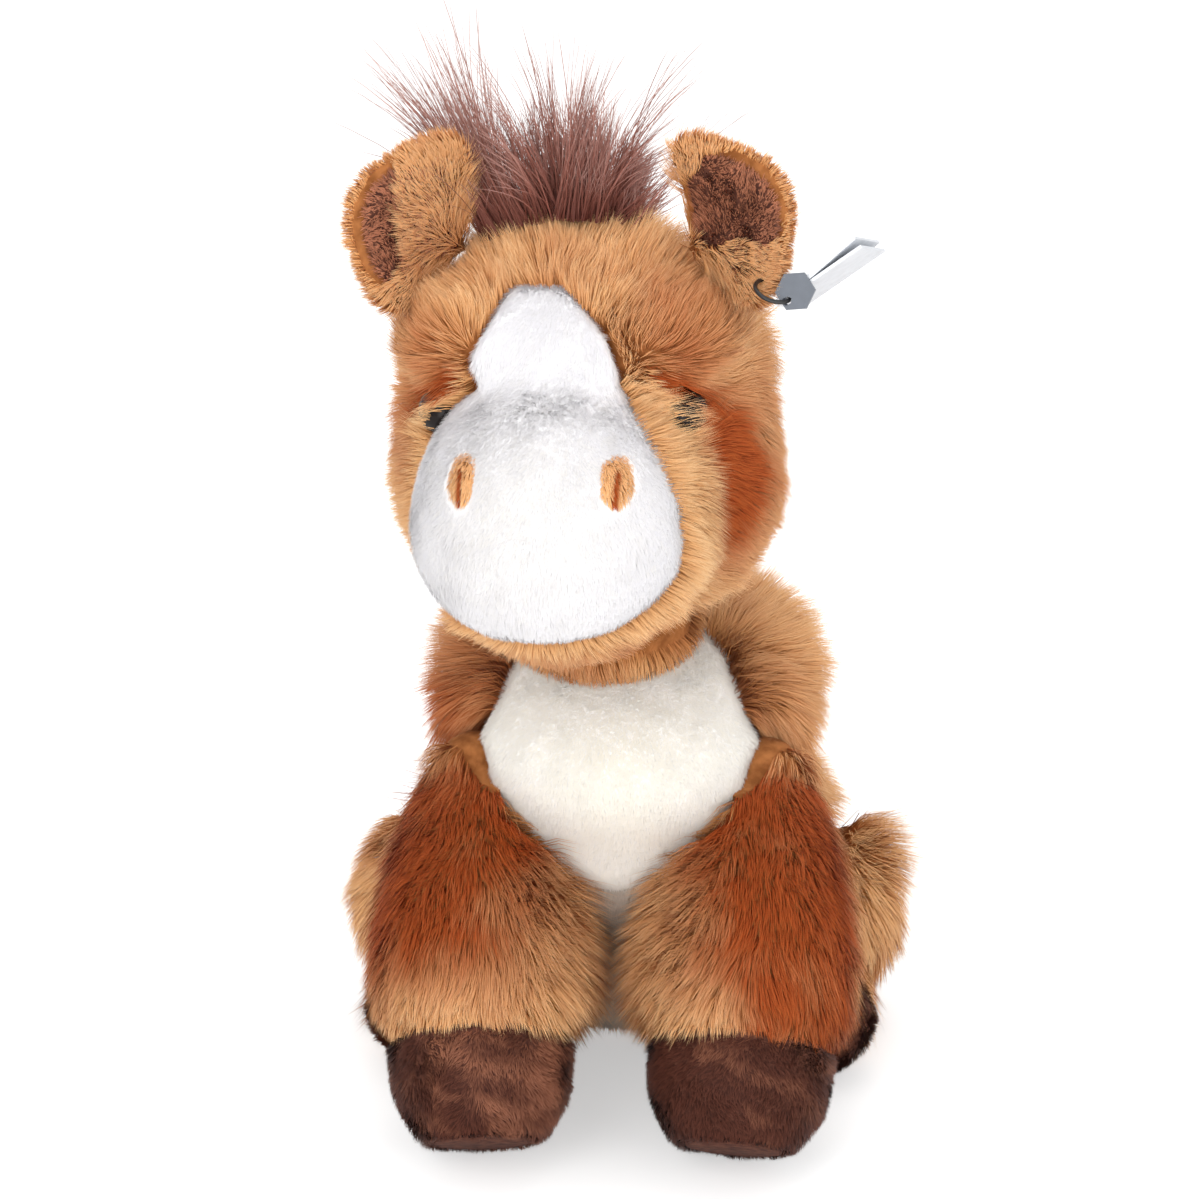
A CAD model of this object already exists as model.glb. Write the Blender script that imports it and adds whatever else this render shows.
from math import atan, cos, pi, radians, sin, sqrt

import bmesh
import bpy
import numpy as np
from mathutils import Matrix, Vector
from mathutils.kdtree import KDTree


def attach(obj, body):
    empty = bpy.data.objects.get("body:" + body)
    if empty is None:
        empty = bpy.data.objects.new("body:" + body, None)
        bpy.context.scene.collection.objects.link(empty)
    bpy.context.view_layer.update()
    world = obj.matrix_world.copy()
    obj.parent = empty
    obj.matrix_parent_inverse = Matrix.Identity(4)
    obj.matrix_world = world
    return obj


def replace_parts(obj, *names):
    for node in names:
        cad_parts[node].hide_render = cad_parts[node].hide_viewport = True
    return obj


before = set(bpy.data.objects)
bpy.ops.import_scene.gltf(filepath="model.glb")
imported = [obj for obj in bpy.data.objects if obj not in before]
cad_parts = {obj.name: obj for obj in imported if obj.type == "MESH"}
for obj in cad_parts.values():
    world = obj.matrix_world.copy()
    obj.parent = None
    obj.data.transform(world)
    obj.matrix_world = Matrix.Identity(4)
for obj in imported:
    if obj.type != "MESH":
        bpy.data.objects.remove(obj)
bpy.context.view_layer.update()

# Camera: far back, 22 degrees above level and 3 degrees to the toy's left, which is the
# photograph's viewing angle. The toy sits with its seat on the floor and faces -Y.
def placed(name, data):
    piece = bpy.data.objects.new(name, data)
    bpy.context.scene.collection.objects.link(piece)
    return piece


look_at = Vector((0, 0, .109))
azimuth, elevation = radians(3), radians(22)
camera_far, picture_width, film_width = 1.1, .288, 36
camera_way = Vector((sin(azimuth) * cos(elevation), -cos(azimuth) * cos(elevation), sin(elevation)))
camera_data = bpy.data.cameras.new("camera")
camera_data.sensor_fit = "HORIZONTAL"
camera_data.sensor_width = film_width
camera_data.lens = film_width * camera_far / picture_width
camera_data.shift_x = -.0233
camera = placed("camera", camera_data)
camera.location = look_at + camera_far * camera_way
camera.rotation_euler = camera_way.to_track_quat("Z", "Y").to_euler()
bpy.context.scene.camera = camera


# Torso: a bag of two-tone long pile plush, turned and stuffed with polyester. The pile is
# combed down, and the bag is pressed in at the shoulders and the hips, where the legs are
# set on. Sizes are in millimetres up to the point where a piece is placed.
def unit(v):
    return v / np.maximum(np.linalg.norm(v, axis=-1, keepdims=True), 1e-9)


def lobe_reach(ways, middle, lobe, inset):
    sizes = np.array(lobe[3:]) - inset
    away = middle - np.array(lobe[:3])
    a = ((ways / sizes) ** 2).sum(1)
    b = (ways * away / sizes ** 2).sum(1)
    inside = b * b - a * (((away / sizes) ** 2).sum() - 1)
    return np.where(inside > 0, np.maximum((-b + np.sqrt(np.maximum(inside, 0))) / a, 0), 0)


def form_reach(ways, form, inset):
    total = sum(lobe_reach(ways, form["middle"], lobe, inset) ** 16 for lobe in form["lobes"])
    reach = total ** (1 / 16)
    for centre, radius in form.get("seats", ()):
        away = form["middle"] - np.array(centre)
        b = ways @ away
        hit = b * b - (away @ away - radius ** 2)
        entry = -b - np.sqrt(np.maximum(hit, 0))
        reach = np.where((hit > 0) & (entry > 0), np.minimum(reach, entry), reach)
    return reach


def on_form(form, way):
    way = np.array(way, float) / np.linalg.norm(way)
    return form["middle"] + way * form_reach(way[None], form, 0)[0]


def height_over(points, form, matrix=Matrix.Identity(4)):
    """Millimetres outside a form, for points that the matrix takes into the form's own frame."""
    into = np.array(matrix)
    away = points @ into[:3, :3].T + into[:3, 3] - form["middle"]
    far = np.linalg.norm(away, axis=1)
    return far - form_reach(away / np.maximum(far, 1e-6)[:, None], form, 0)


def stuffed(form, inset, fineness=5):
    bag = bmesh.new()
    bmesh.ops.create_icosphere(bag, subdivisions=fineness, radius=1)
    ways = unit(np.array([v.co for v in bag.verts]))
    places = form["middle"] + ways * form_reach(ways, form, inset)[:, None]
    places[:, 2] = np.maximum(places[:, 2], form.get("floor", -1e9) + inset)
    for vert, place in zip(bag.verts, places):
        vert.co = place
    return bag


def swollen(bag, cap):
    """Lets the filling press a bag out by cap millimetres at most. Cloth is simulated on a coarse
    copy, and the bag takes over its shift."""
    cell, last_step, neighbours = .005, 20, 6
    scene = bpy.context.scene
    slack = bpy.data.meshes.new("slack_bag")
    bag.to_mesh(slack)
    slack.transform(Matrix.Scale(.001, 4))
    copy = placed("slack_bag", slack)
    coarse = copy.modifiers.new("coarse", "REMESH")
    coarse.mode = "VOXEL"
    coarse.voxel_size = cell
    woven = bpy.data.meshes.new_from_object(copy.evaluated_get(bpy.context.evaluated_depsgraph_get()))
    copy.modifiers.clear()
    copy.data = woven
    start = np.array([v.co for v in woven.vertices]) * 1000
    cloth = copy.modifiers.new("cloth", "CLOTH")
    cloth.settings.use_pressure = True
    cloth.settings.uniform_pressure_force = 4
    cloth.settings.effector_weights.gravity = 0
    for step in range(1, last_step + 1):
        scene.frame_set(step)
    pressed = copy.evaluated_get(bpy.context.evaluated_depsgraph_get()).to_mesh()
    shift = np.array([v.co for v in pressed.vertices]) * 1000 - start
    far = np.linalg.norm(shift, axis=1, keepdims=True)
    shift *= np.minimum(1, cap / np.maximum(far, 1e-6))
    scene.frame_set(1)
    tree = KDTree(len(start))
    for k, point in enumerate(start):
        tree.insert(point, k)
    tree.balance()
    for vert in bag.verts:
        near = tree.find_n(vert.co, neighbours)
        weights = np.array([1 / (distance + .5) ** 2 for _, _, distance in near])
        move = (shift[[k for _, k, _ in near]] * weights[:, None]).sum(0) / weights.sum()
        vert.co = vert.co + Vector(move)
    bpy.data.objects.remove(copy)
    return bag


def sewn(name, body, bag, finish, place=Matrix.Identity(4), replaces=()):
    """Makes a piece of a bag. Returns it and its cloth in millimetres, on which pile can grow."""
    mesh = bpy.data.meshes.new(name)
    bmesh.ops.recalc_face_normals(bag, faces=bag.faces)
    bag.to_mesh(mesh)
    bag.free()
    piece = placed(name, mesh)
    mesh.shade_smooth()
    mesh.calc_loop_triangles()
    points = np.empty(len(mesh.vertices) * 3, np.float32)
    mesh.vertices.foreach_get("co", points)
    normals = np.empty(len(mesh.vertices) * 3, np.float32)
    mesh.vertex_normals.foreach_get("vector", normals)
    corners = np.empty(len(mesh.loop_triangles) * 3, np.int32)
    mesh.loop_triangles.foreach_get("vertices", corners)
    cloth = {"points": points.reshape(-1, 3).astype(float), "normals": normals.reshape(-1, 3).astype(float),
             "corners": corners.reshape(-1, 3)}
    mesh.transform(Matrix.Scale(.001, 4) @ place)
    mesh.materials.append(finish)
    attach(piece, body)
    for node in replaces:
        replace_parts(piece, node)
    return piece, cloth


def waves(points, size, seed):
    rng = np.random.default_rng(seed)
    total = np.zeros(len(points))
    for k in range(7):
        way = unit(rng.normal(size=3)) * rng.uniform(.6, 1.6) * 2 * pi / size
        total += np.sin(points @ way + rng.uniform(0, 2 * pi))
    return total / 2.6


def dyed(red, green, blue):
    parts = [c / 255 for c in (red, green, blue)]
    return tuple(c / 12.92 if c <= .04045 else ((c + .055) / 1.055) ** 2.4 for c in parts) + (1,)


def new_finish(name, values):
    finish = bpy.data.materials.new(name)
    finish.use_nodes = True
    nodes = finish.node_tree.nodes
    shader = nodes["Principled BSDF"]
    for socket, value in values.items():
        shader.inputs[socket].default_value = value
    return finish, nodes, finish.node_tree.links, shader


def ramp_of(nodes, stops):
    """A colour ramp through stops, each a position with red, green and blue."""
    ramp = nodes.new("ShaderNodeValToRGB")
    marks = ramp.color_ramp.elements
    for mark, stop in ((0, stops[0]), (1, stops[-1])):
        marks[mark].color = dyed(*stop[1:])
        marks[mark].position = stop[0]
    for stop in stops[1:-1]:
        marks.new(stop[0]).color = dyed(*stop[1:])
    return ramp


def pile_finish(name, pale, deep, roughness, sheen):
    """Yarn that changes colour from its root to its tip. U blends a pale yarn into a deep one."""
    finish, nodes, links, shader = new_finish(name, {"Roughness": roughness, "Sheen Weight": sheen,
                                                     "Sheen Roughness": .5, "Specular IOR Level": .15})
    strand = nodes.new("ShaderNodeUVMap")
    strand.uv_map = "OFBake"
    split = nodes.new("ShaderNodeSeparateXYZ")
    links.new(strand.outputs["UV"], split.inputs[0])
    blend = nodes.new("ShaderNodeMix")
    blend.data_type = "RGBA"
    links.new(split.outputs["X"], blend.inputs[0])
    for stops, socket in ((pale, blend.inputs[6]), (deep, blend.inputs[7])):
        ramp = ramp_of(nodes, stops)
        links.new(split.outputs["Y"], ramp.inputs[0])
        links.new(ramp.outputs[0], socket)
    links.new(blend.outputs[2], shader.inputs["Base Color"])
    return finish


def mottled_finish(name, stops, size, detail, strength, depth, values):
    """A surface whose colour and height follow the same noise."""
    finish, nodes, links, shader = new_finish(name, values)
    where = nodes.new("ShaderNodeTexCoord")
    mottle = nodes.new("ShaderNodeTexNoise")
    mottle.inputs["Scale"].default_value = size
    mottle.inputs["Detail"].default_value = detail
    ramp = ramp_of(nodes, stops)
    bump = nodes.new("ShaderNodeBump")
    bump.inputs["Strength"].default_value = strength
    bump.inputs["Distance"].default_value = depth
    links.new(where.outputs["Object"], mottle.inputs["Vector"])
    links.new(mottle.outputs["Fac"], ramp.inputs[0])
    links.new(ramp.outputs[0], shader.inputs["Base Color"])
    links.new(mottle.outputs["Fac"], bump.inputs["Height"])
    links.new(bump.outputs[0], shader.inputs["Normal"])
    return finish


def backing_finish(name, light, dark, size):
    """Knitted backing cloth, mottled where the pile thins."""
    return mottled_finish(name, [(.38, *dark), (.62, *light)], size, 5, .5, .0006,
                          {"Roughness": .95, "Specular IOR Level": .2})


def strands_of(name, body, points, sides, width, tones, finish, place, order, facing):
    """Flat yarns. points is (strands, steps, 3) from root to tip, every yarn ends in a point and those under
    the toy are pressed flat on the floor. facing is the way that a yarn's light falls from. A pile with
    more triangles than one piece may have is cut into parts, which follow the given order."""
    most_triangles, pressed_under, tip_width = 198000, .6, .62
    count, steps = points.shape[:2]
    per_part = int(most_triangles / (2 * steps - 3))
    parts = max(1, -(-count // per_part))
    ranked = np.argsort(order, kind="stable")
    taper = np.linspace(1, tip_width, steps - 1)
    pieces = []
    turned = np.array(place.to_3x3())
    for part, chosen in enumerate(np.array_split(ranked, parts)):
        path, side, wide = points[chosen], sides[chosen], width[chosen]
        shift = side[:, None] * (wide[:, None] * taper / 2)[:, :, None]
        edges = np.stack([path[:, :-1] - shift, path[:, :-1] + shift], axis=2)
        verts = np.concatenate([edges.reshape(len(path), -1, 3), path[:, -1:]], axis=1)
        verts = verts.reshape(-1, 3) @ turned.T + np.array(place.translation)
        pressed = verts[:, 2] < pressed_under
        verts[pressed, 2] = pressed_under * np.exp(verts[pressed, 2] / pressed_under - 1)
        each = 2 * (steps - 1) + 1
        base = (np.arange(len(path)) * each)[:, None]
        quads = [[2 * k, 2 * k + 1, 2 * k + 3, 2 * k + 2] for k in range(steps - 2)]
        loops = np.concatenate([base + np.array([corner for quad in quads for corner in quad], int),
                                base + np.array([each - 3, each - 2, each - 1])], axis=1).astype(np.int32)
        sizes = np.tile(np.array([4] * len(quads) + [3]), len(path))
        mesh = bpy.data.meshes.new(name)
        mesh.vertices.add(len(path) * each)
        mesh.vertices.foreach_set("co", (verts * .001).reshape(-1).astype(np.float32))
        mesh.loops.add(loops.size)
        mesh.loops.foreach_set("vertex_index", loops.reshape(-1))
        mesh.polygons.add(len(sizes))
        mesh.polygons.foreach_set("loop_start", (np.cumsum(sizes) - sizes).astype(np.int32))
        along = np.concatenate([np.repeat(np.arange(steps - 1) / (steps - 1), 2), [1]])
        across = np.concatenate([np.tile([-.004, .004], steps - 1), [0]])
        local = (loops - base) % each
        tone = np.clip(tones[chosen], .01, .99)[:, None]
        uv = np.stack([tone + across[local], .01 + .98 * along[local]], axis=2)
        layer = mesh.uv_layers.new(name="OFBake")
        layer.uv.foreach_set("vector", uv.reshape(-1).astype(np.float32))
        mesh.update(calc_edges=True)
        mesh.shade_smooth()
        soft = np.repeat(unit(facing[chosen]) @ turned.T, each, axis=0)
        mesh.normals_split_custom_set_from_vertices(soft.astype(np.float32))
        mesh.materials.append(finish)
        piece = placed(name if parts == 1 else f"{name}_{part + 1}", mesh)
        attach(piece, body)
        pieces.append(piece)
    return pieces


def grow_pile(name, body, cloth, finish, slot, per_mm2, length, wide, comb, tone, seed, lift=(52, 28),
              keep=None, tuft=2, pull=.25, wander=20, steps=3, place=Matrix.Identity(4), fall=(0, 0, -1.0),
              roll=50, depth=1.0, stand=None, longer=None):
    """Pile that stands out of a cloth, lies over the way it is combed and gathers in small tufts.
    stand gives degrees that it stands up further, longer a factor on its length, fall the way down."""
    sag = .08
    rng = np.random.default_rng(seed)
    corners = cloth["points"][cloth["corners"]]
    areas = np.linalg.norm(np.cross(corners[:, 1] - corners[:, 0], corners[:, 2] - corners[:, 0]), axis=1) / 2
    count = int(areas.sum() * per_mm2)
    chosen = rng.choice(len(areas), count, p=areas / areas.sum())
    u, v = rng.random(count), rng.random(count)
    over = u + v > 1
    u[over], v[over] = 1 - u[over], 1 - v[over]
    shares = np.stack([1 - u - v, u, v], axis=1)[:, :, None]
    root = (corners[chosen] * shares).sum(1)
    out = unit((cloth["normals"][cloth["corners"][chosen]] * shares).sum(1))
    if keep is not None:
        stays = keep(root, out)
        root, out = root[stays], out[stays]
    count = len(root)
    way = comb(root, out)
    way = unit(way - out * (way * out).sum(1, keepdims=True))
    turn = np.radians(wander * waves(root, 16, seed) + rng.normal(size=count) * wander * .4)[:, None]
    way = way * np.cos(turn) + np.cross(out, way) * np.sin(turn)
    long = length * (1 + .1 * waves(root, 12, seed + 1)) * rng.uniform(.7, 1.12, count)
    if longer is not None:
        long = long * longer(root, out)
    rise = np.radians(4 * waves(root, 11, seed + 2) + rng.normal(size=count) * 5)
    if stand is not None:
        rise += np.radians(stand(root, out))
    down = np.array(fall)
    path = [root - out * .3]
    at = root
    for k in range(1, steps):
        share = (k - 1) / max(1, steps - 2)
        angle = (np.radians(lift[0] + (lift[1] - lift[0]) * share) + rise)[:, None]
        step = (long / (steps - 1))[:, None]
        at = at + step * (out * np.sin(angle) + way * np.cos(angle) + down * sag * share)
        path.append(at)
    path = np.stack(path, axis=1)
    bent = root + 1.4 * np.stack([waves(root, 7, seed + k) for k in (3, 4, 5)], axis=1)
    cells = np.floor(bent / tuft).astype(np.int64)
    keys = cells @ np.array([73856093, 19349663, 83492791])
    _, tufts = np.unique(keys, return_inverse=True)
    tufts = tufts.reshape(-1)
    sizes = np.bincount(tufts)
    gather = np.clip(pull * rng.uniform(.3, 1.5, len(sizes)), 0, .9)[tufts]
    throw = rng.normal(size=(len(sizes), 3))[tufts] * length * .05
    for k in range(1, steps):
        share = k / (steps - 1)
        middle = np.stack([np.bincount(tufts, path[:, k, axis]) / sizes for axis in range(3)], axis=1)[tufts]
        path[:, k] += ((middle - path[:, k]) * gather[:, None] + throw) * share ** 1.5
    lie = unit(path[:, -1] - path[:, 0])
    side = unit(np.cross(lie, out))
    turn = rng.uniform(-1, 1, count)[:, None] * radians(roll)
    side = side * np.cos(turn) + np.cross(lie, side) * np.sin(turn)
    tint = rng.normal(size=len(sizes))[tufts] * .05
    tones = tone(root, out) + tint + rng.normal(size=count) * .045
    width = wide * rng.uniform(.75, 1.2, count)
    order = np.arctan2(root[:, 1] - root[:, 1].mean(), root[:, 0] - root[:, 0].mean())
    facing = out + depth * (.25 * np.cross(side, lie) + .08 * rng.normal(size=(count, 3)))
    return strands_of(name, body, path, side, width, tones, finish, place, order, facing)


def spots(points, places, base=0.0):
    """A value that swells round each of the places, given as (x, y, z), spread and amount."""
    total = base + np.zeros(len(points))
    for centre, spread, amount in places:
        total += amount * np.exp(-((points - np.array(centre)) ** 2).sum(1) / (2 * spread ** 2))
    return total


def inside_outline(x, z, outline):
    """Millimetres inside an outline of (x, z) points, negative outside it."""
    ends = np.array(outline, float)
    starts = np.roll(ends, 1, axis=0)
    nearest = np.full(len(x), 1e9)
    within = np.zeros(len(x), bool)
    for (ax, az), (bx, bz) in zip(starts, ends):
        dx, dz = bx - ax, bz - az
        share = np.clip(((x - ax) * dx + (z - az) * dz) / max(dx * dx + dz * dz, 1e-9), 0, 1)
        nearest = np.minimum(nearest, np.hypot(x - ax - share * dx, z - az - share * dz))
        if az != bz:
            within ^= ((az > z) != (bz > z)) & (x < (bx - ax) * (z - az) / (bz - az) + ax)
    return np.where(within, nearest, -nearest)


def mirrored(half):
    return half + [(-x, z) for x, z in reversed(half) if x > 0]


def smoothstep(x, low, high):
    t = np.clip((x - low) / (high - low), 0, 1)
    return t * t * (3 - 2 * t)


def swell(gaps, spread):
    """1 where the gaps are nought, less the further away."""
    return np.exp(-sum(gap ** 2 for gap in gaps) / spread)


def ways_of(x, y, z):
    return np.stack(np.broadcast_arrays(x, y, z), axis=1)


def cut_above(bag, height):
    bmesh.ops.bisect_plane(bag, geom=bag.verts[:] + bag.edges[:] + bag.faces[:], plane_co=(0, 0, height),
                           plane_no=(0, 0, 1), clear_outer=True)
    bmesh.ops.holes_fill(bag, edges=[e for e in bag.edges if e.is_boundary])
    return bag


pile_inset, to_face = 4.6, 4.9
both_sides = (("left", 1), ("right", -1))
torso = {
    "middle": np.array((0, 0, 61.0)), "floor": 0,
    "lobes": [(0, 0, 45, 50, 45, 46.5), (0, -20, 60, 43, 37, 34), (0, -21, 82, 43, 38, 26),
              (19, -3, 87, 27, 34, 25), (-19, -3, 87, 27, 34, 25)],
}
shoulder = np.array((34, -36, 80.0))
hip = np.array((42, 1, 29.0))
flip = np.array((-1, 1, 1))
dock_way = np.array((0, 52, -34.0)) / np.hypot(52, 34)
dock_at = on_form(torso, dock_way)
torso_bare = dict(torso)
torso["seats"] = [(shoulder, 15.5), (shoulder * flip, 15.5), (hip, 25.5), (hip * flip, 25.5)]
tan_backing = backing_finish("rust_backing_cloth", (172, 110, 62), (134, 80, 40), 260)
tan_pile = pile_finish(
    "two_tone_long_pile",
    pale=[(0, 196, 126, 70), (.35, 226, 160, 98), (.7, 244, 190, 132), (1, 250, 214, 166)],
    deep=[(0, 132, 52, 16), (.35, 154, 62, 18), (.7, 174, 76, 26), (1, 190, 98, 42)],
    roughness=.62, sheen=.05)
bib_edge = mirrored([(0, 114), (14, 113), (24.5, 106), (33, 90), (33, 83), (29, 77), (20.5, 67.5), (13, 62),
                     (7, 59.3), (0, 58)])
belly_edge = [(-15, -2), (15, -2), (15, 88), (-15, 88)]


def in_bib(points):
    return inside_outline(points[:, 0], points[:, 2], bib_edge)


def in_belly(points):
    return inside_outline(points[:, 0], points[:, 2], belly_edge)


def off_panels(points, grow=0.0):
    belly = (in_belly(points) + grow > 0) & (points[:, 1] < -22)
    return ~((points[:, 1] < -16) & ((in_bib(points) + grow > 0) | belly))


torso_cloth = sewn("torso_cover_cloth", "torso", swollen(stuffed(torso, pile_inset + .6), 1.2), tan_backing,
                   replaces=["torso_cover"])[1]
filling = backing_finish("polyester_filling", (246, 246, 244), (222, 222, 220), 120)
sewn("torso_filling", "torso", stuffed(torso, pile_inset + 3.2, 4), filling,
     replaces=["torso_stuffing"])
pellet_top = 18
sewn("seat_pellet_bag", "torso", cut_above(stuffed(torso, pile_inset + 4.4, 4), pellet_top),
     backing_finish("pellet_bag_cloth", (224, 218, 204), (200, 194, 180), 400),
     replaces=["seat_pellet_pouch"])


def torso_comb(points, out):
    behind = .15 + 1.1 * np.clip(out[:, 2], 0, 1)
    return ways_of(points[:, 0] * .012, np.where(points[:, 1] > -18, behind, -.1), -1.0)


def torso_tone(points, out):
    return spots(points, [((-40, -28, 92), 16, .7), ((34, -42, 92), 12, .6)], .2 + .12 * waves(points, 26, 5))


def torso_full(points):
    """Where the pile is fuller: on the shoulders, over the left hip and by the front legs."""
    x, y, z = points.T
    top = smoothstep(z, 88, 100) * smoothstep(np.abs(x), 14, 24)
    left_hip = swell((x - 48, y + 4, z - 66), 400)
    by_leg = swell((np.abs(x) - 44, y + 28, z - 90), 220)
    return np.clip(top + .9 * left_hip + .9 * by_leg, 0, 1)


def off_neck(points):
    return np.hypot(points[:, 0] + 4, points[:, 1] + 17) + 100 * (points[:, 2] < 95) > 17


grow_pile("torso_pile", "torso", torso_cloth, tan_pile, "plush_tan", 4.8, 9, .26, torso_comb, torso_tone, 11,
          stand=lambda p, n: 16 * torso_full(p) + 20 * ~off_panels(p + to_face * n, 4),
          longer=lambda p, n: 1 + .6 * torso_full(p),
          keep=lambda p, n: off_panels(p + to_face * n) & (p[:, 2] > 5.5) & off_neck(p))


# Chest bib and belly panel: short white and grey nap, cut to the chest's outline and sewn
# into the tan cover, whose longer pile hangs over their edges.
def panel(name, body, form, inset, margin, finish, place=Matrix.Identity(4), replaces=(), fineness=6):
    """Part of a form's cover. margin gives the millimetres inside its sewn edge, which is drawn in."""
    cloth = bmesh.new()
    bmesh.ops.create_icosphere(cloth, subdivisions=fineness, radius=1)
    ways = unit(np.array([v.co for v in cloth.verts]))
    at = form["middle"] + ways * form_reach(ways, form, inset)[:, None]
    depth = margin(at)
    drawn = inset + (pile_inset + .8 - inset) * np.clip(1 - (depth + 2) / 3.5, 0, 1) ** 1.5
    sizes = np.zeros(len(ways))
    for level in np.unique(np.round(drawn, 1)):
        rows = np.round(drawn, 1) == level
        sizes[rows] = form_reach(ways[rows], form, level)
    for vert, way, size, deep in zip(cloth.verts, ways, sizes, depth):
        vert.co = form["middle"] + way * size
        vert.tag = bool(deep < -2)
    bmesh.ops.delete(cloth, geom=[v for v in cloth.verts if v.tag], context="VERTS")
    bmesh.ops.smooth_vert(cloth, verts=cloth.verts, factor=.5, use_axis_x=True, use_axis_y=True,
                          use_axis_z=True)
    return sewn(name, body, cloth, finish, place, replaces)


white_backing = backing_finish("white_backing_cloth", (250, 249, 246), (243, 241, 238), 900)
white_nap = pile_finish("white_short_nap",
                        pale=[(0, 237, 235, 238), (1, 244, 243, 246)],
                        deep=[(0, 248, 243, 230), (1, 252, 248, 238)],
                        roughness=.85, sheen=.05)
grey_nap = pile_finish("grey_short_nap", pale=[(0, 180, 164, 150), (1, 206, 192, 178)],
                       deep=[(0, 168, 150, 136), (1, 190, 174, 160)], roughness=.85, sheen=.05)
white_lie = {"lift": (26, 12), "steps": 2, "tuft": 1.2, "pull": .1, "wander": 12, "roll": 12, "depth": .15}


def bib_margin(points):
    off_shoulder = np.linalg.norm(np.abs(points) * (1, -1, 1) - shoulder, axis=1) - 12
    return np.minimum(np.where(points[:, 1] < -16, in_bib(points), -9), off_shoulder)


bib_cloth = panel("chest_bib_cloth", "torso", torso_bare, 1.2, bib_margin, white_backing,
                  replaces=["chest_bib"])[1]
grow_pile("chest_bib_nap", "torso", bib_cloth, white_nap, "plush_white", 14, 2, .3,
          torso_comb, lambda p, n: spots(p, [((1, -62, 88), 12, .3)], .7), 21,
          keep=lambda p, n: in_bib(p) > 0, **white_lie)
belly_cloth = panel("belly_panel_cloth", "torso", torso_bare, 1.6,
                    lambda p: np.where(p[:, 1] < -22, np.minimum(in_belly(p), -in_bib(p)), -9),
                    backing_finish("grey_backing_cloth", (196, 186, 176), (168, 158, 148), 500),
                    replaces=["belly_panel"])[1]
grow_pile("belly_panel_nap", "torso", belly_cloth, grey_nap, "plush_grey", 8, 3, .4,
          torso_comb, lambda p, n: np.full(len(p), .4), 22, lift=(30, 15), steps=2, tuft=1.5, pull=.2, roll=20,
          depth=.3, keep=lambda p, n: (in_belly(p) > 0) & (p[:, 2] > 3) & (in_bib(p) < 0))


# Neck: a short stuffed tube of the same plush, sewn into the top of the torso. Its domed
# end turns inside the head.
def spun(profile, rounds=40):
    """A closed form turned about Z from (radius, height) points, listed from axis to axis."""
    form = bmesh.new()
    verts = [form.verts.new((radius, 0, height)) for radius, height in profile]
    edges = [form.edges.new(pair) for pair in zip(verts, verts[1:])]
    bmesh.ops.spin(form, geom=verts + edges, cent=(0, 0, 0), axis=(0, 0, 1), angle=2 * pi, steps=rounds,
                   use_merge=True)
    bmesh.ops.remove_doubles(form, verts=form.verts, dist=1e-4)
    return form


def rounded(points, per_span=6):
    """Points of a smooth line through the given ones, which it keeps."""
    ends = [points[0]] + points + [points[-1]]
    line = [points[0]]
    for a, b, c, d in zip(ends, ends[1:], ends[2:], ends[3:]):
        for k in range(1, per_span + 1):
            t = k / per_span
            line.append(tuple(.5 * (2 * q + (r - p) * t + (2 * p - 5 * q + 4 * r - s) * t * t
                              + (3 * q - p - 3 * r + s) * t ** 3) for p, q, r, s in zip(a, b, c, d)))
    return line


neck_place = Matrix.Translation((-4, -17, 108))


def neck_profile(inset):
    radius, low, dome_at, dome_end = 21 - inset, inset - 10, 6, .96
    dome = [(radius * cos(a), dome_at + radius * sin(a)) for a in np.linspace(.1, dome_end, 8)]
    return [(0, low), (radius, low), (radius, dome_at)] + dome + [(0, dome_at + radius * sin(dome_end))]


neck_cloth = sewn("neck_cover_cloth", "neck", spun(neck_profile(.4)), tan_backing, neck_place,
                  replaces=["neck_cover"])[1]
grow_pile("neck_pile", "neck", neck_cloth, tan_pile, "plush_tan", 5, 6, .26,
          lambda p, n: ways_of(p[:, 0] * .05, p[:, 1] * .05, -1.0),
          lambda p, n: .3 + .1 * waves(p, 18, 27), 27, place=neck_place,
          keep=lambda p, n: (p[:, 2] > -3) & (p[:, 2] < 3 + 10 * smoothstep(p[:, 1], -10, 4)))
sewn("neck_filling", "neck", spun(neck_profile(2.4), 24), filling, neck_place,
     replaces=["neck_stuffing"])

# Head: one stuffed ball with fuller cheeks, brows and muzzle. Its long pile is combed
# back from the face, up over the forehead and out over the cheeks.
head_place = neck_place @ Matrix.Translation((0, 0, 6)) @ Matrix.Rotation(radians(-7), 4, "Z") \
    @ Matrix.Rotation(radians(-3), 4, "Y")
head = {
    "middle": np.array((0, -18, 48.0)),
    "lobes": [(0, -11, 53, 44, 42, 46), (0, -46, 38, 35, 34, 34), (16, -13, 37, 30, 34, 31),
              (-16, -13, 37, 30, 34, 31), (21, -26, 76, 20, 22, 15), (-21, -26, 76, 20, 22, 15)],
}
head_bare = dict(head)
head["seats"] = [((0, 0, 0), 22.5)]
face_edge = [(.5, 90.6), (2.6, 89.6), (12, 82.5), (16, 76), (15.4, 71.5), (17.6, 67.5), (21.6, 63.5), (26, 57),
             (29.8, 49), (30.8, 41), (29.6, 33), (24.5, 27.4), (17, 23), (8, 20.8), (-2, 20.2), (-12, 20.8),
             (-20, 23), (-27, 27.4), (-31.6, 33), (-33.5, 41), (-33, 49), (-30.5, 57), (-26, 63.5), (-21, 68.5),
             (-19, 72), (-19.8, 78), (-12.8, 89), (-11, 90.6)]
nostril_edge = [(13.4, 60.6), (15.5, 61.6), (18.4, 61.2), (20.4, 59), (21.6, 55), (20, 52), (17.6, 50.6),
                (15.2, 51.6), (13.6, 55)]
eye_ways = [np.array((sign * 31, -22, 16.0)) for sign in (1, -1)]
eye_sunk = 3.2
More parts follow.
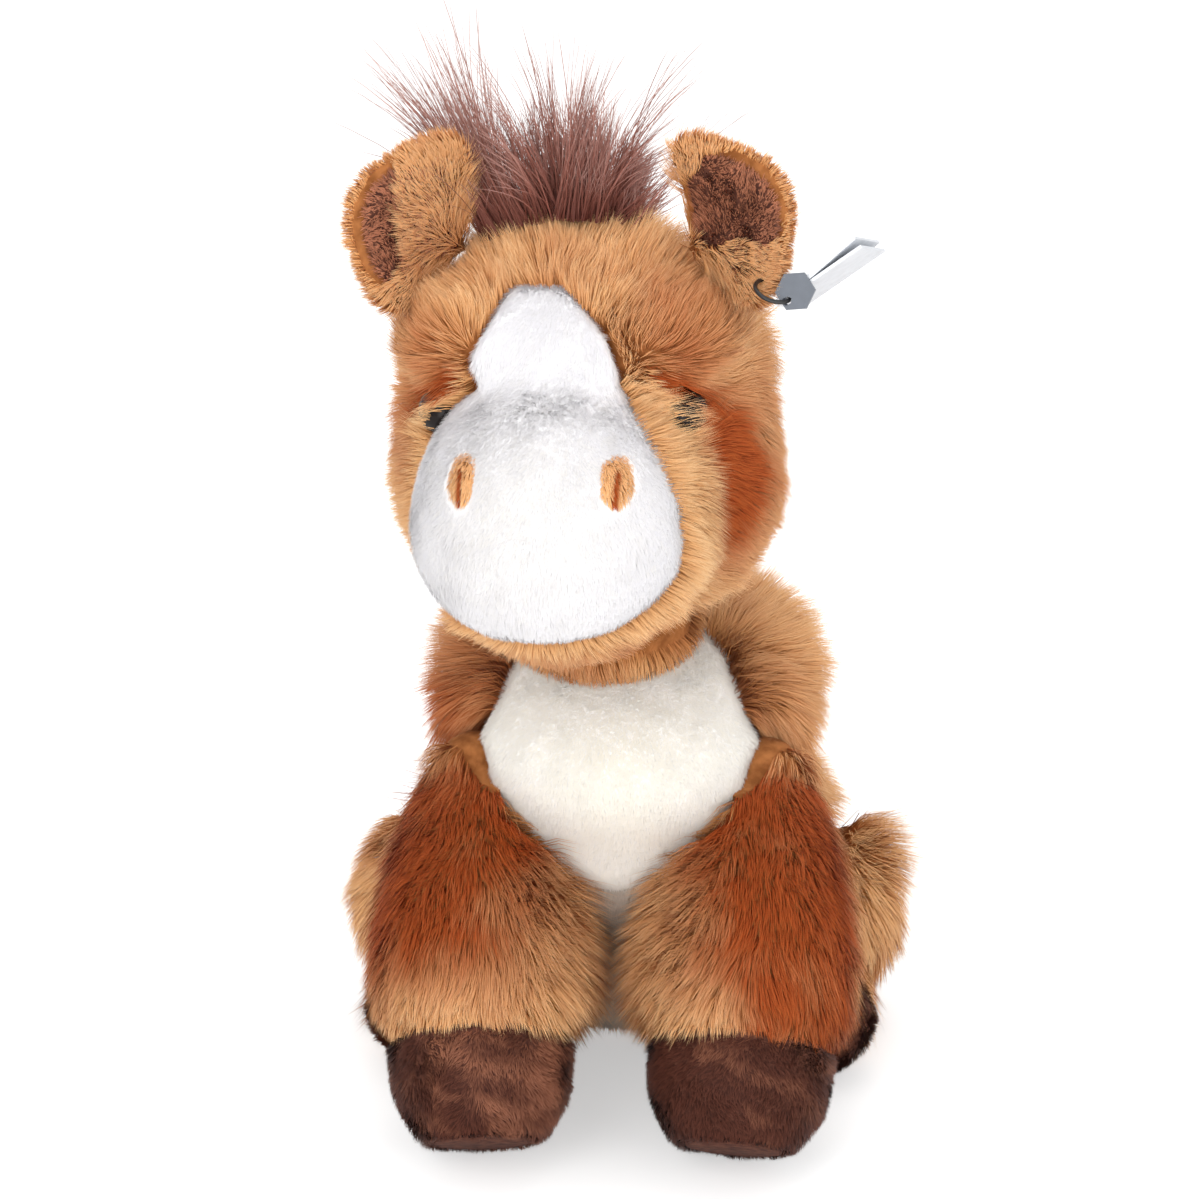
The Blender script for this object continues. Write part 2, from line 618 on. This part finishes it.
eye_places = [on_form(head_bare, unit(way)) - eye_sunk * unit(way) for way in eye_ways]


def on_face(points):
    return np.where(points[:, 1] < -20, inside_outline(points[:, 0], points[:, 2], face_edge), -9)


def head_comb(points, out):
    x, y, z = points.T
    front = 1 / (1 + np.exp((y + 6) / 6))
    rise = np.tanh((z - 60) / 14)
    side = np.tanh(x / 9)
    face = ways_of(side * (1.1 - .5 * np.clip(rise, 0, 1)), .7, np.where(rise > 0, 1.1 * rise, .9 * rise))
    back = ways_of(.25 * side, .1, -1.0)
    way = face * front[:, None] + back * (1 - front)[:, None]
    for at in eye_places:
        to_eye = at + (0, 0, -2) - points
        far = np.linalg.norm(to_eye, axis=1, keepdims=True)
        way = way + 2.2 * to_eye / np.maximum(far, .1) * np.exp(-(far / 9) ** 2)
    return way


def head_tone(points, out):
    rim = on_face(points + to_face * out)
    return spots(points, [((35, -36, 56), 7, .9), ((37, -34, 42), 7, .75), ((36, -36, 30), 7, .5),
                          ((27, -40, 76), 5, .6), ((-39, -30, 56), 7, .7), ((29, -32, 90), 6, .6),
                          ((20, -38, 84), 5, .3), ((-26, -42, 78), 5, .4), ((32, -34, 53), 6, .5),
                          ((0, -32, 96), 7, .15), ((44, -18, 46), 14, .35), ((-36, -30, 84), 6, .3)],
                 .14 + .1 * waves(points, 22, 6) - .5 * np.exp(-((rim + 2) / 2.2) ** 2) * (points[:, 2] < 72)
                 + 1.3 * np.exp(-(by_crease(points) / 2.4) ** 2) + .35 * by_chin(points))


def near_eye(points):
    return np.minimum(*[np.linalg.norm(points - at, axis=1) for at in eye_places])


def by_crease(points):
    """Millimetres from the fold that bends over each eye, and 9 more away from the eye."""
    bend_x, bend_z, bend_radius = 12, 56.5, 17.4
    x, y, z = np.abs(points[:, 0]), points[:, 1], points[:, 2]
    return np.abs(np.hypot(x - bend_x, z - bend_z) - bend_radius) + 9 * ((z < 57) | (x < 20) | (y > -20))


head_cloth = sewn("head_cover_cloth", "head", swollen(stuffed(head, pile_inset + .6), 1.2), tan_backing,
                  head_place, replaces=["head_cover"])[1]
sewn("head_filling", "head", stuffed(head, pile_inset + 3.4, 4), filling, head_place,
     replaces=["head_stuffing"])


def down_in(place):
    return place.to_3x3().inverted() @ Vector((0, 0, -1))


def by_chin(points):
    return np.exp(-((points[:, 2] - 16) / 9) ** 2) * (points[:, 1] < -38)


def by_right_cheek(points):
    return (points[:, 0] < -20) & (points[:, 2] > 22) & (points[:, 2] < 54)


def by_ear(points):
    x, y, z = np.abs(points[:, 0]), points[:, 1] + 12, points[:, 2]
    return swell((x - 17, y, z - 95), 90) + .9 * swell((x - 40, y, z - 76), 110)


def by_face(points, out):
    return np.exp(-(on_face(points + to_face * out) / 5) ** 2)


def head_stand(points, out):
    return 24 * by_face(points, out) * ~by_right_cheek(points) - 12 * by_chin(points) + 22 * by_ear(points)


def head_longer(points, out):
    return 1 - .3 * by_chin(points) + .3 * np.exp(-(near_eye(points) / 8) ** 2) + .9 * by_ear(points) \
        - .55 * by_face(points, out) * by_right_cheek(points)


def head_keep(points, out):
    off_face = on_face(points + to_face * out) < .3
    off_neck_seat = np.linalg.norm(points, axis=1) > 24
    far = near_eye(points)
    return off_face & off_neck_seat & (far > 3) & ((by_crease(points) > 1.6) | (far > 9))


grow_pile("head_pile", "head", head_cloth, tan_pile, "plush_tan", 5.6, 8.5, .25, head_comb, head_tone, 31,
          place=head_place, fall=down_in(head_place), stand=head_stand, longer=head_longer, keep=head_keep)

# Muzzle and blaze: one panel of short white nap that bulges between the cheeks and
# narrows up the forehead. Two small tan patches are let into it for the nostrils.
white_face = panel("muzzle_blaze_cloth", "head", head_bare, 1.0, on_face,
                   backing_finish("white_face_cloth", (236, 235, 236), (231, 230, 231), 900),
                   head_place, ["muzzle_blaze_panel"])[1]


def nostril_depth(points):
    return inside_outline(np.abs(points[:, 0]), points[:, 2], nostril_edge)


def face_comb(points, out):
    return ways_of(points[:, 0] * .02, -.6, -1.0)


grow_pile("muzzle_blaze_nap", "head", white_face, white_nap, "plush_white", 14, 2, .3, face_comb,
          lambda p, n: spots(p, [((-2, -76, 50), 17, .3)], .05), 41, place=head_place,
          keep=lambda p, n: (on_face(p) > 0) & (nostril_depth(p) < 0), **white_lie)
for name, sign in both_sides:
    patch = panel(f"nostril_{name}_cloth", "head", head_bare, .5,
                  lambda p: np.where((p[:, 0] * sign > 0) & (p[:, 1] < -46), nostril_depth(p), -9), tan_backing,
                  head_place, [f"nostril_patch_{name}"])[1]
    grow_pile(f"nostril_{name}_nap", "head", patch, tan_pile, "plush_tan", 16, 2.2, .26, face_comb,
              lambda p, n: 1.3 * np.exp(-((np.abs(p[:, 0]) - 17) / .6) ** 2) * (np.abs(p[:, 2] - 55) < 4) - .1,
              43, lift=(34, 16), place=head_place, tuft=1, pull=.1, wander=8, roll=15, depth=.4,
              keep=lambda p, n: nostril_depth(p) > .5)


# Eyes: black plastic safety eyes, drawn into the pile under the brows. Each has a shank
# through the cover and a pressed washer behind it.
def aimed(at, way):
    z = Vector(way).normalized()
    y = z.cross(Vector((0, 0, 1))).normalized()
    x = y.cross(z)
    turn = Matrix((x, y, z)).transposed().to_4x4()
    turn.translation = Vector(at)
    return turn


def moulded_finish(name, colour, roughness, size=900, depth=.00004, specular=.5):
    """Moulded plastic with a faint unevenness in its polish."""
    worn = [c * .88 for c in colour]
    return mottled_finish(name, [(0, *worn), (1, *colour)], size, 2, 1, depth,
                          {"Roughness": roughness, "Specular IOR Level": specular})


def refinished(node, finish):
    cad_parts[node].data.materials.clear()
    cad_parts[node].data.materials.append(finish)


eye_black = moulded_finish("black_eye_plastic", (20, 9, 6), .25, specular=.2)
washer_white = moulded_finish("washer_plastic", (230, 230, 226), .45)
eye_radius, eye_height, shank_radius, shank_end = 5.5, 4.5, 1.6, 5.3
for (name, sign), at, eye_way in zip(both_sides, eye_places, eye_ways):
    dome = [(0, -shank_end), (shank_radius, -shank_end), (shank_radius, -.4), (5.2, -.4), (eye_radius, 0)]
    dome += [(eye_radius * cos(a), eye_height * sin(a)) for a in np.linspace(.12, pi / 2, 12)][:-1]
    sewn(f"safety_eye_{name}", "head", spun(dome + [(0, eye_height)], 40), eye_black,
         head_place @ aimed(at, eye_way), [f"eye_{name}"])
    refinished(f"eye_washer_{name}", washer_white)

# Mane: long plum-brown hair in loose locks, one thick bunch on the crown and a shorter
# row down the nape. The locks are sewn into the head's seam by their roots.
mane_hair = pile_finish("plum_brown_hair",
                        pale=[(0, 118, 64, 52), (.4, 170, 112, 98), (1, 204, 166, 156)],
                        deep=[(0, 80, 38, 30), (.4, 118, 68, 56), (1, 156, 112, 102)], roughness=.5, sheen=.03)


def on_skull(angle, side_angle):
    rim = cos(side_angle)
    return np.array((44 * sin(side_angle), -11 + 42 * rim * sin(angle), 53 + 46 * rim * cos(angle)))


def grow_locks(name, locks, per_lock, wide, seed, place, body="head", spread=3.6, floor=-999):
    """Locks of hair, each given as (root, way, length, lean, share of per_lock), that bend up at the floor."""
    rng = np.random.default_rng(seed)
    paths, sides, tones = [], [], []
    steps, bends_within = 8, 8
    for root, way, length, lean, part in locks:
        count = int(per_lock * part)
        root = np.array(root)
        way = np.array(way, float) / np.linalg.norm(way)
        across = unit(np.cross((0, 1, 0.1), way))
        third = np.cross(way, across)
        angle = rng.uniform(0, 2 * pi, count)
        radius = np.sqrt(rng.random(count)) * spread
        splay = rng.normal(size=(count, 3)) * .07
        stray = rng.random(count) < .1
        splay[stray] *= 2.6
        long = length * (.3 + .75 * rng.random(count) ** 1.3)
        curl = rng.normal(size=(count, 2)) * .06 + rng.normal(size=2) * .1
        spot = root + np.outer(radius * np.cos(angle), across) + np.outer(radius * np.sin(angle), third)
        path = []
        for k in range(steps):
            share = k / (steps - 1)
            close = 1 - .75 * share ** .8 * ~stray
            base = root + (spot - root) * close[:, None]
            bow = np.outer(curl[:, 0] * length * share ** 2, across) \
                + np.outer(curl[:, 1] * length * share ** 2, third)
            point = base + np.outer(long * share, way) + splay * (long * share ** 1.6)[:, None] + bow
            point += across * lean * share ** 2 + np.array((0, 0, -1)) * (long * .06 * share ** 3)[:, None]
            path.append(point)
        path = np.stack(path, axis=1)
        over = path[..., 2] - floor
        bent = bends_within * np.exp(np.minimum(over - bends_within, 0) / bends_within)
        path[..., 2] += np.where(over < bends_within, bent - over, 0)
        paths.append(path)
        lie = unit(path[:, -1] - path[:, 0])
        side = unit(np.cross(lie, (0, -1, .2)))
        roll = rng.uniform(-1, 1, count)[:, None] * radians(70)
        sides.append(side * np.cos(roll) + np.cross(lie, side) * np.sin(roll))
        tones.append(np.clip(.5 + rng.normal() * .12 + rng.normal(size=count) * .22, 0, 1))
    paths, sides, tones = np.concatenate(paths), np.concatenate(sides), np.concatenate(tones)
    width = wide * rng.uniform(.6, 1.2, len(paths))
    lies = unit(paths[:, -1] - paths[:, 0])
    return strands_of(name, body, paths, sides, width, tones, mane_hair, place,
                      np.zeros(len(paths)), np.cross(sides, lies))


crown_shape = [(-18, -41, 141, 1), (-15, -34, 145, .8), (-17, -39, 132, 1), (-13, -29, 127, 1.2),
               (-19, -33, 121, 1.2), (-10, -21, 121, 1.2), (-7, -16, 141, .35), (-4, -7, 142, .6),
               (-8, -12, 124, .9), (-1, 3, 139, .7), (1, -3, 129, 1.1), (3, 6, 122, 1.2), (4, 10, 130, .6),
               (6, 18, 143, .35), (8, 11, 119, .8), (12, 37, 127, .12), (11, 17, 113, .5)]
crown_locks = []
for i, (root_x, tip_x, tip_z, part) in enumerate(crown_shape):
    root = on_skull(radians(4 + 5 * (i % 3 - 1)), np.arcsin(root_x / 44))
    way = np.array((tip_x, -6 + 5 * (i % 3), tip_z)) - root
    crown_locks.append((root, way, np.linalg.norm(way), 3 * (i % 2) - 1.5, part))
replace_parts(grow_locks("crown_mane_hair", crown_locks, 260, .22, 51, head_place, spread=4.2)[0], "crown_mane")
nape_locks = []
for i in range(9):
    angle = radians(30 + 70 * i / 8)
    way = (.3 if i % 2 else -.3, sin(angle), cos(angle) + .15)
    nape_locks.append((on_skull(angle, 0), way, 26 * (1 - .035 * i), 5 if i % 2 else -5, 1))
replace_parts(grow_locks("nape_mane_hair", nape_locks, 360, .3, 52, head_place)[0], "nape_mane")


# Ears: a cupped leaf of tan plush with a dark nap lining, gathered at its root and hand
# sewn to the side of the head. The long pile round its edges is brushed over the lining.
ear_long, ear_half, ear_curl, curl_power = 38, 21, 9, 2.2


def leaf(share, thickness, forward):
    form = bmesh.new()
    bmesh.ops.create_icosphere(form, subdivisions=5, radius=1)
    for vert in form.verts:
        along, through, across = vert.co
        flare = smoothstep(along, -1.3, .1) * (1 - .25 * max(0, along) ** 2)
        z = ear_half * share * across * flare
        curl = ear_curl * abs(z / ear_half) ** curl_power
        vert.co = (ear_long / 2 + ear_long / 2 * share * along, thickness / 2 * through - curl - forward, z)
    return form


nap_backing = backing_finish("brown_backing_cloth", (104, 64, 50), (70, 40, 32), 500)
brown_nap = pile_finish("dark_brown_nap",
                        pale=[(0, 146, 86, 60), (.6, 194, 126, 94), (1, 212, 146, 114)],
                        deep=[(0, 48, 20, 12), (.6, 78, 38, 26), (1, 98, 54, 40)], roughness=.6, sheen=.06)
ear_way = np.array((21, 6, 36.0)) / np.linalg.norm((21, 6, 36))
ear_at = on_form(head_bare, ear_way) - .5 * ear_way
ear_turns = {"left": (-34, -34), "right": (50, 214)}
lining_edges = {
    "left": [(0, 3), (6, 8), (23, 14), (31, 12), (35, 5), (35, -4), (31, -9.5), (25, -8.6), (5, 1)],
    "right": [(32, -11), (35, -6), (35.5, 2), (34, 8), (29, 14.5), (24, 16), (20, 13), (17, 9), (20, 5),
              (25, -1), (28, -7)],
}
ear_places = {}
for name, sign in both_sides:
    body = f"ear_{name}"
    turn, tilt = ear_turns[name]
    place = head_place @ Matrix.Translation(Vector(ear_at * (sign, 1, 1))) \
        @ (Matrix.Rotation(radians(turn), 4, "Z") @ Matrix.Rotation(radians(tilt), 4, "Y"))
    ear_places[name] = place
    into_head = head_place.inverted() @ place

    def ear_comb(points, out):
        low = 1 - smoothstep(points[:, 0], 6, 20)
        return ways_of(1 - .8 * low, 0.0, points[:, 2] * (.04 + .12 * low))

    def ear_longer(points, out):
        return .9 - .45 * smoothstep(points[:, 0], 20, 34) + .5 * (1 - smoothstep(points[:, 0], 4, 16))

    def on_front(points):
        return points[:, 1] + ear_curl * np.abs(points[:, 2] / ear_half) ** curl_power < 0

    def on_lining(points):
        return on_front(points) & (inside_outline(points[:, 0], points[:, 2], lining_edges[name]) > 0)

    ear_cloth = sewn(f"ear_cover_{name}_cloth", body, leaf(.93, 3, 0), tan_backing, place,
                     [f"ear_outer_{name}"])[1]
    grow_pile(f"ear_cover_{name}_pile", body, ear_cloth, tan_pile, "plush_tan", 9, 7.5, .28, ear_comb,
              lambda p, n: .05 + .12 * waves(p, 18, 7) + .35 * np.exp(-(p[:, 0] / 14) ** 2) * (sign < 0), 61,
              place=place, fall=down_in(place), lift=(28, 12), wander=8, pull=.12, roll=30, depth=.5,
              longer=ear_longer,
              keep=lambda p, n: ~on_lining(p) & (height_over(p, head_bare, into_head) > -1.5))
    lining_cloth = sewn(f"ear_lining_{name}_cloth", body, leaf(.76, 2.6, 1.2), nap_backing,
                        place, [f"ear_lining_{name}"])[1]
    grow_pile(f"ear_lining_{name}_nap", body, lining_cloth, brown_nap, "plush_brown", 8, 2.6, .34, ear_comb,
              lambda p, n: .05 + .12 * waves(p, 9, 8), 63, lift=(32, 18), steps=2, place=place, roll=25,
              depth=.5, keep=lambda p, n: on_front(p) & (height_over(p, head_bare, into_head) > -1))

# Swing tag: a folded card that hangs on a plastic loop through the edge of the left ear,
# with a six-sided seal pressed on the loop.
edge_share, loop_radius, wire_radius = .93, 4.2, .5
tag_across = -ear_half * edge_share
tag_roll = ear_curl * edge_share ** curl_power
tag_place = ear_places["left"] @ Matrix.Translation((ear_long * .72, -tag_roll, tag_across)) \
    @ Matrix.Rotation(radians(58), 4, "Y") \
    @ Matrix.Rotation(-atan(curl_power * tag_roll / -tag_across), 4, "Z")
ring = bmesh.new()
bmesh.ops.create_circle(ring, cap_ends=False, radius=wire_radius, segments=12,
                        matrix=Matrix.Translation((loop_radius, 0, 0)) @ Matrix.Rotation(pi / 2, 4, "X"))
bmesh.ops.spin(ring, geom=ring.verts[:] + ring.edges[:], cent=(0, 0, 0), axis=(0, 0, 1), angle=2 * pi, steps=48,
               use_merge=True)
sewn("tag_loop_wire", "swing_tag", ring, moulded_finish("black_loop_plastic", (26, 26, 28), .3),
     tag_place, ["tag_loop"])
refinished("tag_card", moulded_finish("plain_card", (232, 235, 240), .5, 300, .00002))
refinished("tag_seal", moulded_finish("grey_seal_plastic", (96, 102, 112), .35, 500))

# Front legs: stuffed bags that swell towards the hoof, with a rounded end sewn into the
# shoulder. The pile is combed down the leg and spreads over the hoof's seam.
front_angles = (0, 20, 40)
front_tilt, toe_in = radians(36), radians(4)
ball, hoof_height, sole_gap = 14, 24, .3
upright = cos(front_tilt) * cos(toe_in)
front_length = (float(shoulder[2]) - sole_gap - ball * sqrt(1 - upright ** 2)) / upright
front_seam = hoof_height - front_length


def clear_of_torso(form, place, axis, angles, gap, free):
    """Presses a leg's inner side against the torso, also where the leg meets it as it turns. What is less
    than free from the joint stays as it is."""
    points = np.array([v.co for v in form.verts])
    deep = np.linalg.norm(points, axis=1) > free + .3
    matrix = np.array(place)
    hub = matrix[:3, 3]
    for angle in angles:
        turn = np.array(Matrix.Rotation(radians(angle), 3, axis))
        world = (points @ matrix[:3, :3].T) @ turn.T + hub
        away = world - torso_bare["middle"]
        far = np.linalg.norm(away, axis=1)
        ways = away / far[:, None]
        least = form_reach(ways, torso_bare, 0) + gap
        push = deep & (far < least)
        world[push] = torso_bare["middle"] + ways[push] * least[push, None]
        points = ((world - hub) @ turn) @ matrix[:3, :3]
    for vert, point in zip(form.verts, points):
        vert.co = point
    return form


def front_profile(inset):
    wrist = 23.5
    rise = [(wrist + 2.45, .12), (27, .3), (25.6, .5), (21.6, .7), (ball + 3.1, .87)]
    points = [(wrist - inset, front_seam)] + [(r - inset, front_seam * (1 - s)) for r, s in rise]
    points += [((ball - inset) * cos(a), (ball - inset) * sin(a)) for a in np.linspace(0, pi / 2, 5)]
    return [(0, front_seam)] + [(max(0, r), z) for r, z in rounded(points)]


def hoof_profile(top, foot, low, high):
    bulge = (top + foot) / 2 + 2.4
    outer = [(foot - 3, low), (foot + .2, low + .8), (foot + 2.6, low + 3.5), (bulge, (low + high) / 2 - 1),
             (top - .2, high - 3), (top - .6, high)]
    return [(0, low)] + rounded(outer) + [(top - 3, high + 2.5), (0, high + 2.5)]


def leg_down(points, out):
    return ways_of(points[:, 0] * .02, points[:, 1] * .02, -1.0)


def grow_hoof(kind, name, place, top, foot, low, high, seed):
    """Hoof and sole of a leg, turned about Z from the sole at low to the seam at high."""
    body = f"{kind}_leg_{name}"

    def hoof_tone(points, out):
        patches = .3 * smoothstep(waves(points, 22, 10), .2, .8)
        return (.95 if name == "left" else .7) + .15 * waves(points, 12, 9) + patches

    cloth = sewn(f"{kind}_hoof_{name}_cloth", body, spun(hoof_profile(top - 1, foot - 1, low + .8, high), 48),
                 nap_backing, place, [f"{kind}_hoof_{name}"])[1]
    sole = foot - 3
    sewn(f"{kind}_sole_{name}_cloth", body,
         spun([(0, low + .1), (sole - .6, low + .1), (sole, low + .5), (sole, low + 1.8), (0, low + 1.8)], 48),
         nap_backing, place, [f"{kind}_sole_{name}"])
    grow_pile(f"{kind}_hoof_{name}_nap", body, cloth, brown_nap, "plush_brown", 7, 2.6, .38, leg_down,
              hoof_tone, seed, lift=(36, 20), steps=2, place=place, tuft=1.8, wander=40, roll=25, depth=.6,
              keep=lambda p, n: (p[:, 2] < high) & (np.hypot(p[:, 0], p[:, 1]) > foot - 4))


for name, sign in both_sides:
    body = f"front_leg_{name}"
    place = Matrix.Translation(Vector(shoulder * (sign, 1, 1))) @ Matrix.Rotation(sign * toe_in, 4, "Y") \
        @ Matrix.Rotation(-front_tilt, 4, "X")

    def front_comb(points, out):
        reach = np.clip((points[:, 2] - front_seam) / 30, 0, 1)
        return leg_down(points, out) * ways_of(1.0, 1.0, .5 + .5 * reach)

    def front_tone(points, out):
        along = (points[:, 2] - front_seam) / -front_seam
        ahead = -out[:, 1] + sign * out[:, 0] * .25
        rust = smoothstep(ahead, .1, .7) * smoothstep(along, .06, .4) * (1 - smoothstep(along, .94, 1.12))
        rust *= 1 - .6 * inner_side(points)
        cuff = (sign > 0) * .75 * (1 - smoothstep(along, .1, .36)) * smoothstep(sign * out[:, 0], -.3, .2)
        return .12 + .95 * rust + cuff + .1 * waves(points, 18, 12 + sign)

    def inner_side(points):
        return np.clip(-sign * points[:, 0] / ball, 0, 1) * (1 - smoothstep(points[:, 2], -34, -12))

    def front_longer(points, out):
        return (1 + .45 * inner_side(points)) * (.5 + .5 * smoothstep(points[:, 2] - front_seam, 2, 14))

    def front_bag(inset, rounds, gap, free):
        return clear_of_torso(spun(front_profile(inset), rounds), place, (-1, 0, 0), front_angles, gap, free)

    cloth = sewn(f"front_leg_{name}_cloth", body, swollen(front_bag(pile_inset + .4, 64, 1.8, 13), .8),
                 tan_backing, place, [f"front_leg_cover_{name}"])[1]
    filling_top = -19
    sewn(f"front_leg_{name}_filling", body, cut_above(front_bag(pile_inset + 2.6, 32, 3.4, 12), filling_top),
         filling, place, [f"front_leg_stuffing_{name}"])
    grow_pile(f"front_leg_{name}_pile", body, cloth, tan_pile, "plush_tan", 5, 9, .25, front_comb, front_tone,
              71 + sign, place=place, fall=down_in(place), lift=(44, 24), wander=12, pull=.15,
              stand=lambda p, n: 22 * inner_side(p) - 12 * smoothstep(p[:, 2], -12, 2), longer=front_longer,
              keep=lambda p, n: (height_over(p, torso_bare, place) > .4) & (p[:, 2] > front_seam + 2))
    grow_hoof("front", name, place, 22, 14.5, -front_length, front_seam - .3, 73 + sign)

# Hind legs: a round haunch sewn into the hip, with a short foot forward along the floor
# and a smaller hoof.
for name, sign in both_sides:
    body = f"hind_leg_{name}"
    place = Matrix.Translation(Vector(hip * (sign, 1, 1))) @ Matrix.Rotation(radians(sign * 6), 4, "Z")
    foot_at, hind_seam, haunch_radius = (sign, -18, -13.5), -27, 24
    haunch = {"middle": np.array((0, -5, -2.0)),
              "lobes": [(0, 0, 0) + 3 * (haunch_radius,), (sign * 4, -3, 1, 22, 24, 26),
                        foot_at + (16, 22, 15)]}

    def hind_comb(points, out):
        foot = smoothstep(-points[:, 1], 8, 22) * smoothstep(-points[:, 2], -6, 6)
        return ways_of(0.0, -.25 - foot * 1.6, -1 + foot * .8)

    def hind_bag(inset, gap, fineness):
        bag = stuffed(haunch, inset, fineness)
        for vert in bag.verts:
            vert.co.y = max(vert.co.y, hind_seam)
            vert.co.z = max(vert.co.z, sole_gap + inset - 29)
        return clear_of_torso(bag, place, (0, 0, sign), (0, 15, 30), gap, haunch_radius - inset)

    def left_top(points):
        return (sign > 0) * smoothstep(points[:, 2], 4, 16)

    cloth = sewn(f"hind_leg_{name}_cloth", body, swollen(hind_bag(pile_inset + .4, 1.8, 5), .8), tan_backing,
                 place, [f"hind_leg_cover_{name}"])[1]
    sewn(f"hind_leg_{name}_filling", body, hind_bag(pile_inset + 5, 3.4, 4), filling, place,
         [f"hind_leg_stuffing_{name}"])
    grow_pile(f"hind_leg_{name}_pile", body, cloth, tan_pile, "plush_tan", 4.4, 9.5, .26, hind_comb,
              lambda p, n: .12 + .15 * waves(p, 20, 14 + sign), 81 + sign, place=place,
              stand=lambda p, n: 24 * left_top(p),
              longer=lambda p, n: 1 + .4 * smoothstep(-p[:, 1], 10, 24) + .5 * left_top(p),
              keep=lambda p, n: (height_over(p, torso_bare, place) > 1) & (p[:, 2] > -24)
              & (p[:, 1] > hind_seam))
    foot_place = place @ Matrix.Translation(foot_at) @ Matrix.Rotation(radians(-90), 4, "X")
    grow_hoof("hind", name, foot_place, 13.5, 11, -25, -9.3, 83 + sign)

# Tail: a short plush dock that turns in the seat of the torso, and a switch of the
# mane's hair brushed round to the toy's right.
tail_place = Matrix.Translation(Vector(dock_at))
dock_route = rounded([(0, 0, 0), (-1, 11, -3), (-6.6, 18, -8)], 5)
dock = bmesh.new()
bmesh.ops.create_uvsphere(dock, u_segments=24, v_segments=24, radius=6)
for vert in dock.verts:
    share = min(max((vert.co.y / 6 + 1) / 2, 0), 1)
    where = share * (len(dock_route) - 1)
    low = min(int(where), len(dock_route) - 2)
    spot = Vector(dock_route[low]).lerp(Vector(dock_route[low + 1]), where - low)
    round_off = sqrt(max(1 - (2 * share - 1) ** 6, 0))
    ring_at = Vector((vert.co.x, 0, vert.co.z)).normalized() if abs(vert.co.y) < 5.999 else Vector()
    vert.co = spot + ring_at * 5 * round_off
dock_cloth = sewn("tail_dock_cloth", "tail", dock, tan_backing, tail_place, ["tail_dock"])[1]
grow_pile("tail_dock_pile", "tail", dock_cloth, tan_pile, "plush_tan", 4, 8, .32,
          lambda p, n: ways_of(-.2, np.ones(len(p)), -.4), lambda p, n: np.full(len(p), .3), 91,
          place=tail_place, keep=lambda p, n: height_over(p + dock_at, torso_bare) > 1)
switch_at = np.array((-6.6 - 7.5, 19, -8.0))
tail_locks = []
for i in range(10):
    share = 2 * (i % 5) / 4 - 1
    way = (-1, .1 - .16 * share, np.tan(radians(8 - 21 * (2 * i % 5) / 4)))
    root = switch_at + (4, -2.5 * share, 2 - 3 * (i % 2))
    tail_locks.append((root, way, 54 * (1 - .1 * (i % 2)), 6 * share, 1))
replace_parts(grow_locks("tail_switch_hair", tail_locks, 260, .24, 92, tail_place, "tail", 4, .5 - dock_at[2])[0],
            "tail_hair")

# Studio: a plain pale floor under soft light from above, from the front and from both
# sides of it. Floor and sky look brighter to the camera than the light that they give.
floor = bmesh.new()
bmesh.ops.create_grid(floor, x_segments=1, y_segments=1, size=3)
floor_mesh = bpy.data.meshes.new("floor")
floor.to_mesh(floor_mesh)
floor.free()
floor_piece = placed("floor", floor_mesh)


def computed(nodes, links, operation, first, second):
    """Output of a maths node. Each input is a number or another node's output."""
    maths = nodes.new("ShaderNodeMath")
    maths.operation = operation
    for socket, value in zip(maths.inputs, (first, second)):
        if isinstance(value, float):
            socket.default_value = value
        else:
            links.new(value, socket)
    return maths.outputs[0]


white = (1, 1, 1, 1)
floor_finish, nodes, links, matt = new_finish("pale_floor", {
    "Base Color": (.8, .8, .8, 1), "Roughness": .9, "Specular IOR Level": 0, "Emission Color": white})
rays = nodes.new("ShaderNodeLightPath").outputs
seen = computed(nodes, links, "MAXIMUM", rays["Is Camera Ray"], rays["Is Glossy Ray"])
links.new(computed(nodes, links, "MULTIPLY", seen, .45), matt.inputs["Emission Strength"])
floor_mesh.materials.append(floor_finish)

world = bpy.data.worlds.new("studio")
world.use_nodes = True
bpy.context.scene.world = world
nodes, links = world.node_tree.nodes, world.node_tree.links
sky = nodes["Background"]
sky.inputs["Color"].default_value = white
rays = nodes.new("ShaderNodeLightPath").outputs
seen = computed(nodes, links, "MAXIMUM", rays["Is Camera Ray"], rays["Is Glossy Ray"])
both = computed(nodes, links, "MAXIMUM", seen, rays["Is Transmission Ray"])
strength = nodes.new("ShaderNodeMapRange")
strength.inputs["To Min"].default_value = .8
strength.inputs["To Max"].default_value = 1
links.new(both, strength.inputs["Value"])
links.new(strength.outputs[0], sky.inputs["Strength"])
for name, where, size, power in (("key", (-.5, -1.0, .8), .8, 4.5), ("fill", (.8, -.9, .5), .8, 3.5),
                                 ("low", (0, -1.2, .2), .8, 4.5), ("top", (.1, .2, 1.2), .8, 3)):
    light = bpy.data.lights.new(name, "AREA")
    light.shape = "DISK"
    light.size = size
    light.energy = power
    lamp = placed(name, light)
    lamp.location = where
    lamp.rotation_euler = (Vector(where) - look_at).to_track_quat("Z", "Y").to_euler()

bpy.context.scene.view_settings.view_transform = "Standard"
